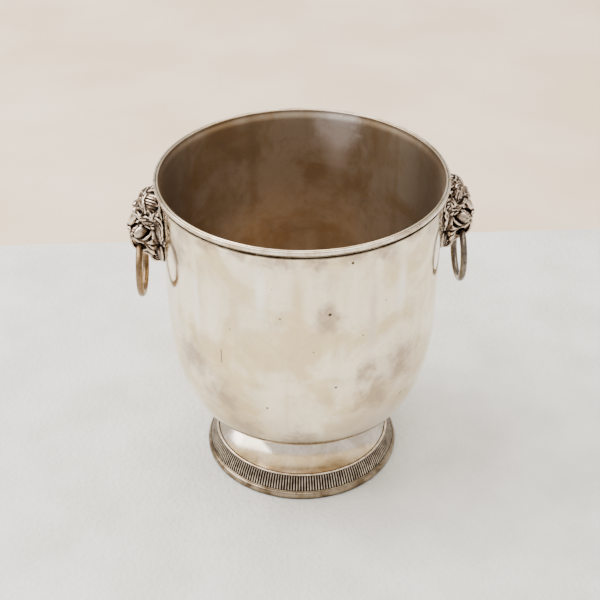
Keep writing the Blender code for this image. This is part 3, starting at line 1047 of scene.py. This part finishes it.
# The crease settings below also lay black in the creases as painted shade.
cast_silver = patinated("cast_silver_with_patina", "#DFCBB9", "#5A483A", "#0B0807", (0.14, 0.38), 0.41,
                        crease=(3.0, 0.3, 0.8))
reed_silver = patinated("rolled_reeds", "#D6C6B2", "#54443A", "#0A0806", (0.14, 0.36), 0.64,
                        crease=(1.8, 0.4, 1.0))
worn_gold = patinated("ring_worn_to_brass", "#BFA98C", "#8C7458", "#3A2B20", (0.10, 0.3), 0.41, False, 3.5)
worn_steel = patinated("ring_dark_plate", "#B8B2AA", "#7A7066", "#2E2926", (0.07, 0.24), 0.41, False, 3.5)
put_on(mask_right, cast_silver)
put_on(mask_left, cast_silver)
put_on(border, reed_silver)
put_on(ring_left, worn_gold)
put_on(ring_right, worn_steel)

# %% [markdown]
# ## The table, the light and the camera
#
# A pale plastered table top carries the bucket. Behind it lies pale canvas. Polished metal shows
# every lamp as a shape, and small lamps would each draw a hard spot. So the light is two wide
# lamps in a plain bright room.

# %% Floor and backdrop
def stage_plane(name, corners, material):
    """One flat face with a finish."""
    bm = bmesh.new()
    bm.faces.new([bm.verts.new(c) for c in corners])
    bmesh.ops.recalc_face_normals(bm, faces=bm.faces)
    mesh = bpy.data.meshes.new(name)
    bm.to_mesh(mesh)
    bm.free()
    mesh.materials.append(material)
    obj = bpy.data.objects.new(name, mesh)
    bpy.context.scene.collection.objects.link(obj)


def stage_finish(name, low, high, size_mm, grain_mm, relief_mm):
    """A matt finish: two tones mixed at one size, and a bump at another."""
    material, tree, shader, place = new_finish(name)
    mottle = add(tree, "TexNoise", {"Vector": place, "Scale": every(size_mm), "Detail": 6.0})
    grain = add(tree, "TexNoise", {"Vector": place, "Scale": every(grain_mm), "Detail": 6.0})
    colour = lay_over(tree, low, high, mottle.outputs["Fac"], 0.3, 0.7)
    tree.links.new(colour, shader.inputs["Base Color"])
    bump = add(tree, "Bump", {"Height": grain.outputs["Fac"], "Distance": relief_mm * MM})
    tree.links.new(bump.outputs[0], shader.inputs["Normal"])
    shader.inputs["Roughness"].default_value = 0.9
    return material


plaster = stage_finish("white_plaster", "#DADAD5", "#EBEBE7", 60, 4, 1.6)
canvas = stage_finish("beige_canvas", "#E6CFB0", "#EFDEC8", 160, 3, 0.3)
EDGE_Y, EDGE_SLOPE, REACH = 0.2918, -0.025, 3.0
edge = [(x, EDGE_Y + EDGE_SLOPE * x, 0) for x in (-REACH, REACH)]
stage_plane("floor", [(-REACH, -REACH, 0), (REACH, -REACH, 0), edge[1], edge[0]], plaster)
stage_plane("backdrop", [edge[0], edge[1], (REACH, REACH, 0), (-REACH, REACH, 0)], canvas)
print(f"the canvas starts {EDGE_Y:.2f} m behind the bucket's axis")


# %% Lights
def soft_light(name, place, aim, size, power, colour):
    """A rectangular lamp at a place, turned towards the aim, with its power in watts."""
    data = bpy.data.lights.new(name, "AREA")
    data.shape = "RECTANGLE"
    data.size, data.size_y = size
    data.energy = power
    data.color = linear(colour)[:3]
    lamp = bpy.data.objects.new(name, data)
    lamp.location = place
    lamp.rotation_euler = (Vector(aim) - Vector(place)).to_track_quat("-Z", "Y").to_euler()
    bpy.context.scene.collection.objects.link(lamp)
    print(f"{name}: {power} W over {size[0]} m by {size[1]} m")


MIDDLE = (0, 0, TOP / 2)
soft_light("window", (-1.7, 0.3, 1.9), MIDDLE, (2.4, 2.4), 104, "#FFFEFA")
soft_light("ceiling", (0.2, 0.1, 3.0), MIDDLE, (3.5, 3.5), 118, "#FFF9F1")


# %% The room around the table
ROOM_LIGHT = 1.18
world = bpy.data.worlds.new("studio")
world.use_nodes = True
background = world.node_tree.nodes["Background"]
background.inputs["Color"].default_value = linear("#EFE9E1")
background.inputs["Strength"].default_value = ROOM_LIGHT
bpy.context.scene.world = world
print("room light:", ROOM_LIGHT)

# %% Camera
camera = bpy.data.objects.new("camera", bpy.data.cameras.new("camera"))
camera.location = (-0.0640, -0.7960, 0.6690)
camera.rotation_euler = [math.radians(a) for a in (55.81, 0, -4.5)]
camera.data.lens = 81
camera.data.sensor_width = 36
bpy.context.scene.collection.objects.link(camera)
bpy.context.scene.camera = camera
print(f"camera {(camera.location - Vector(MIDDLE)).length:.2f} m from the bucket's middle")
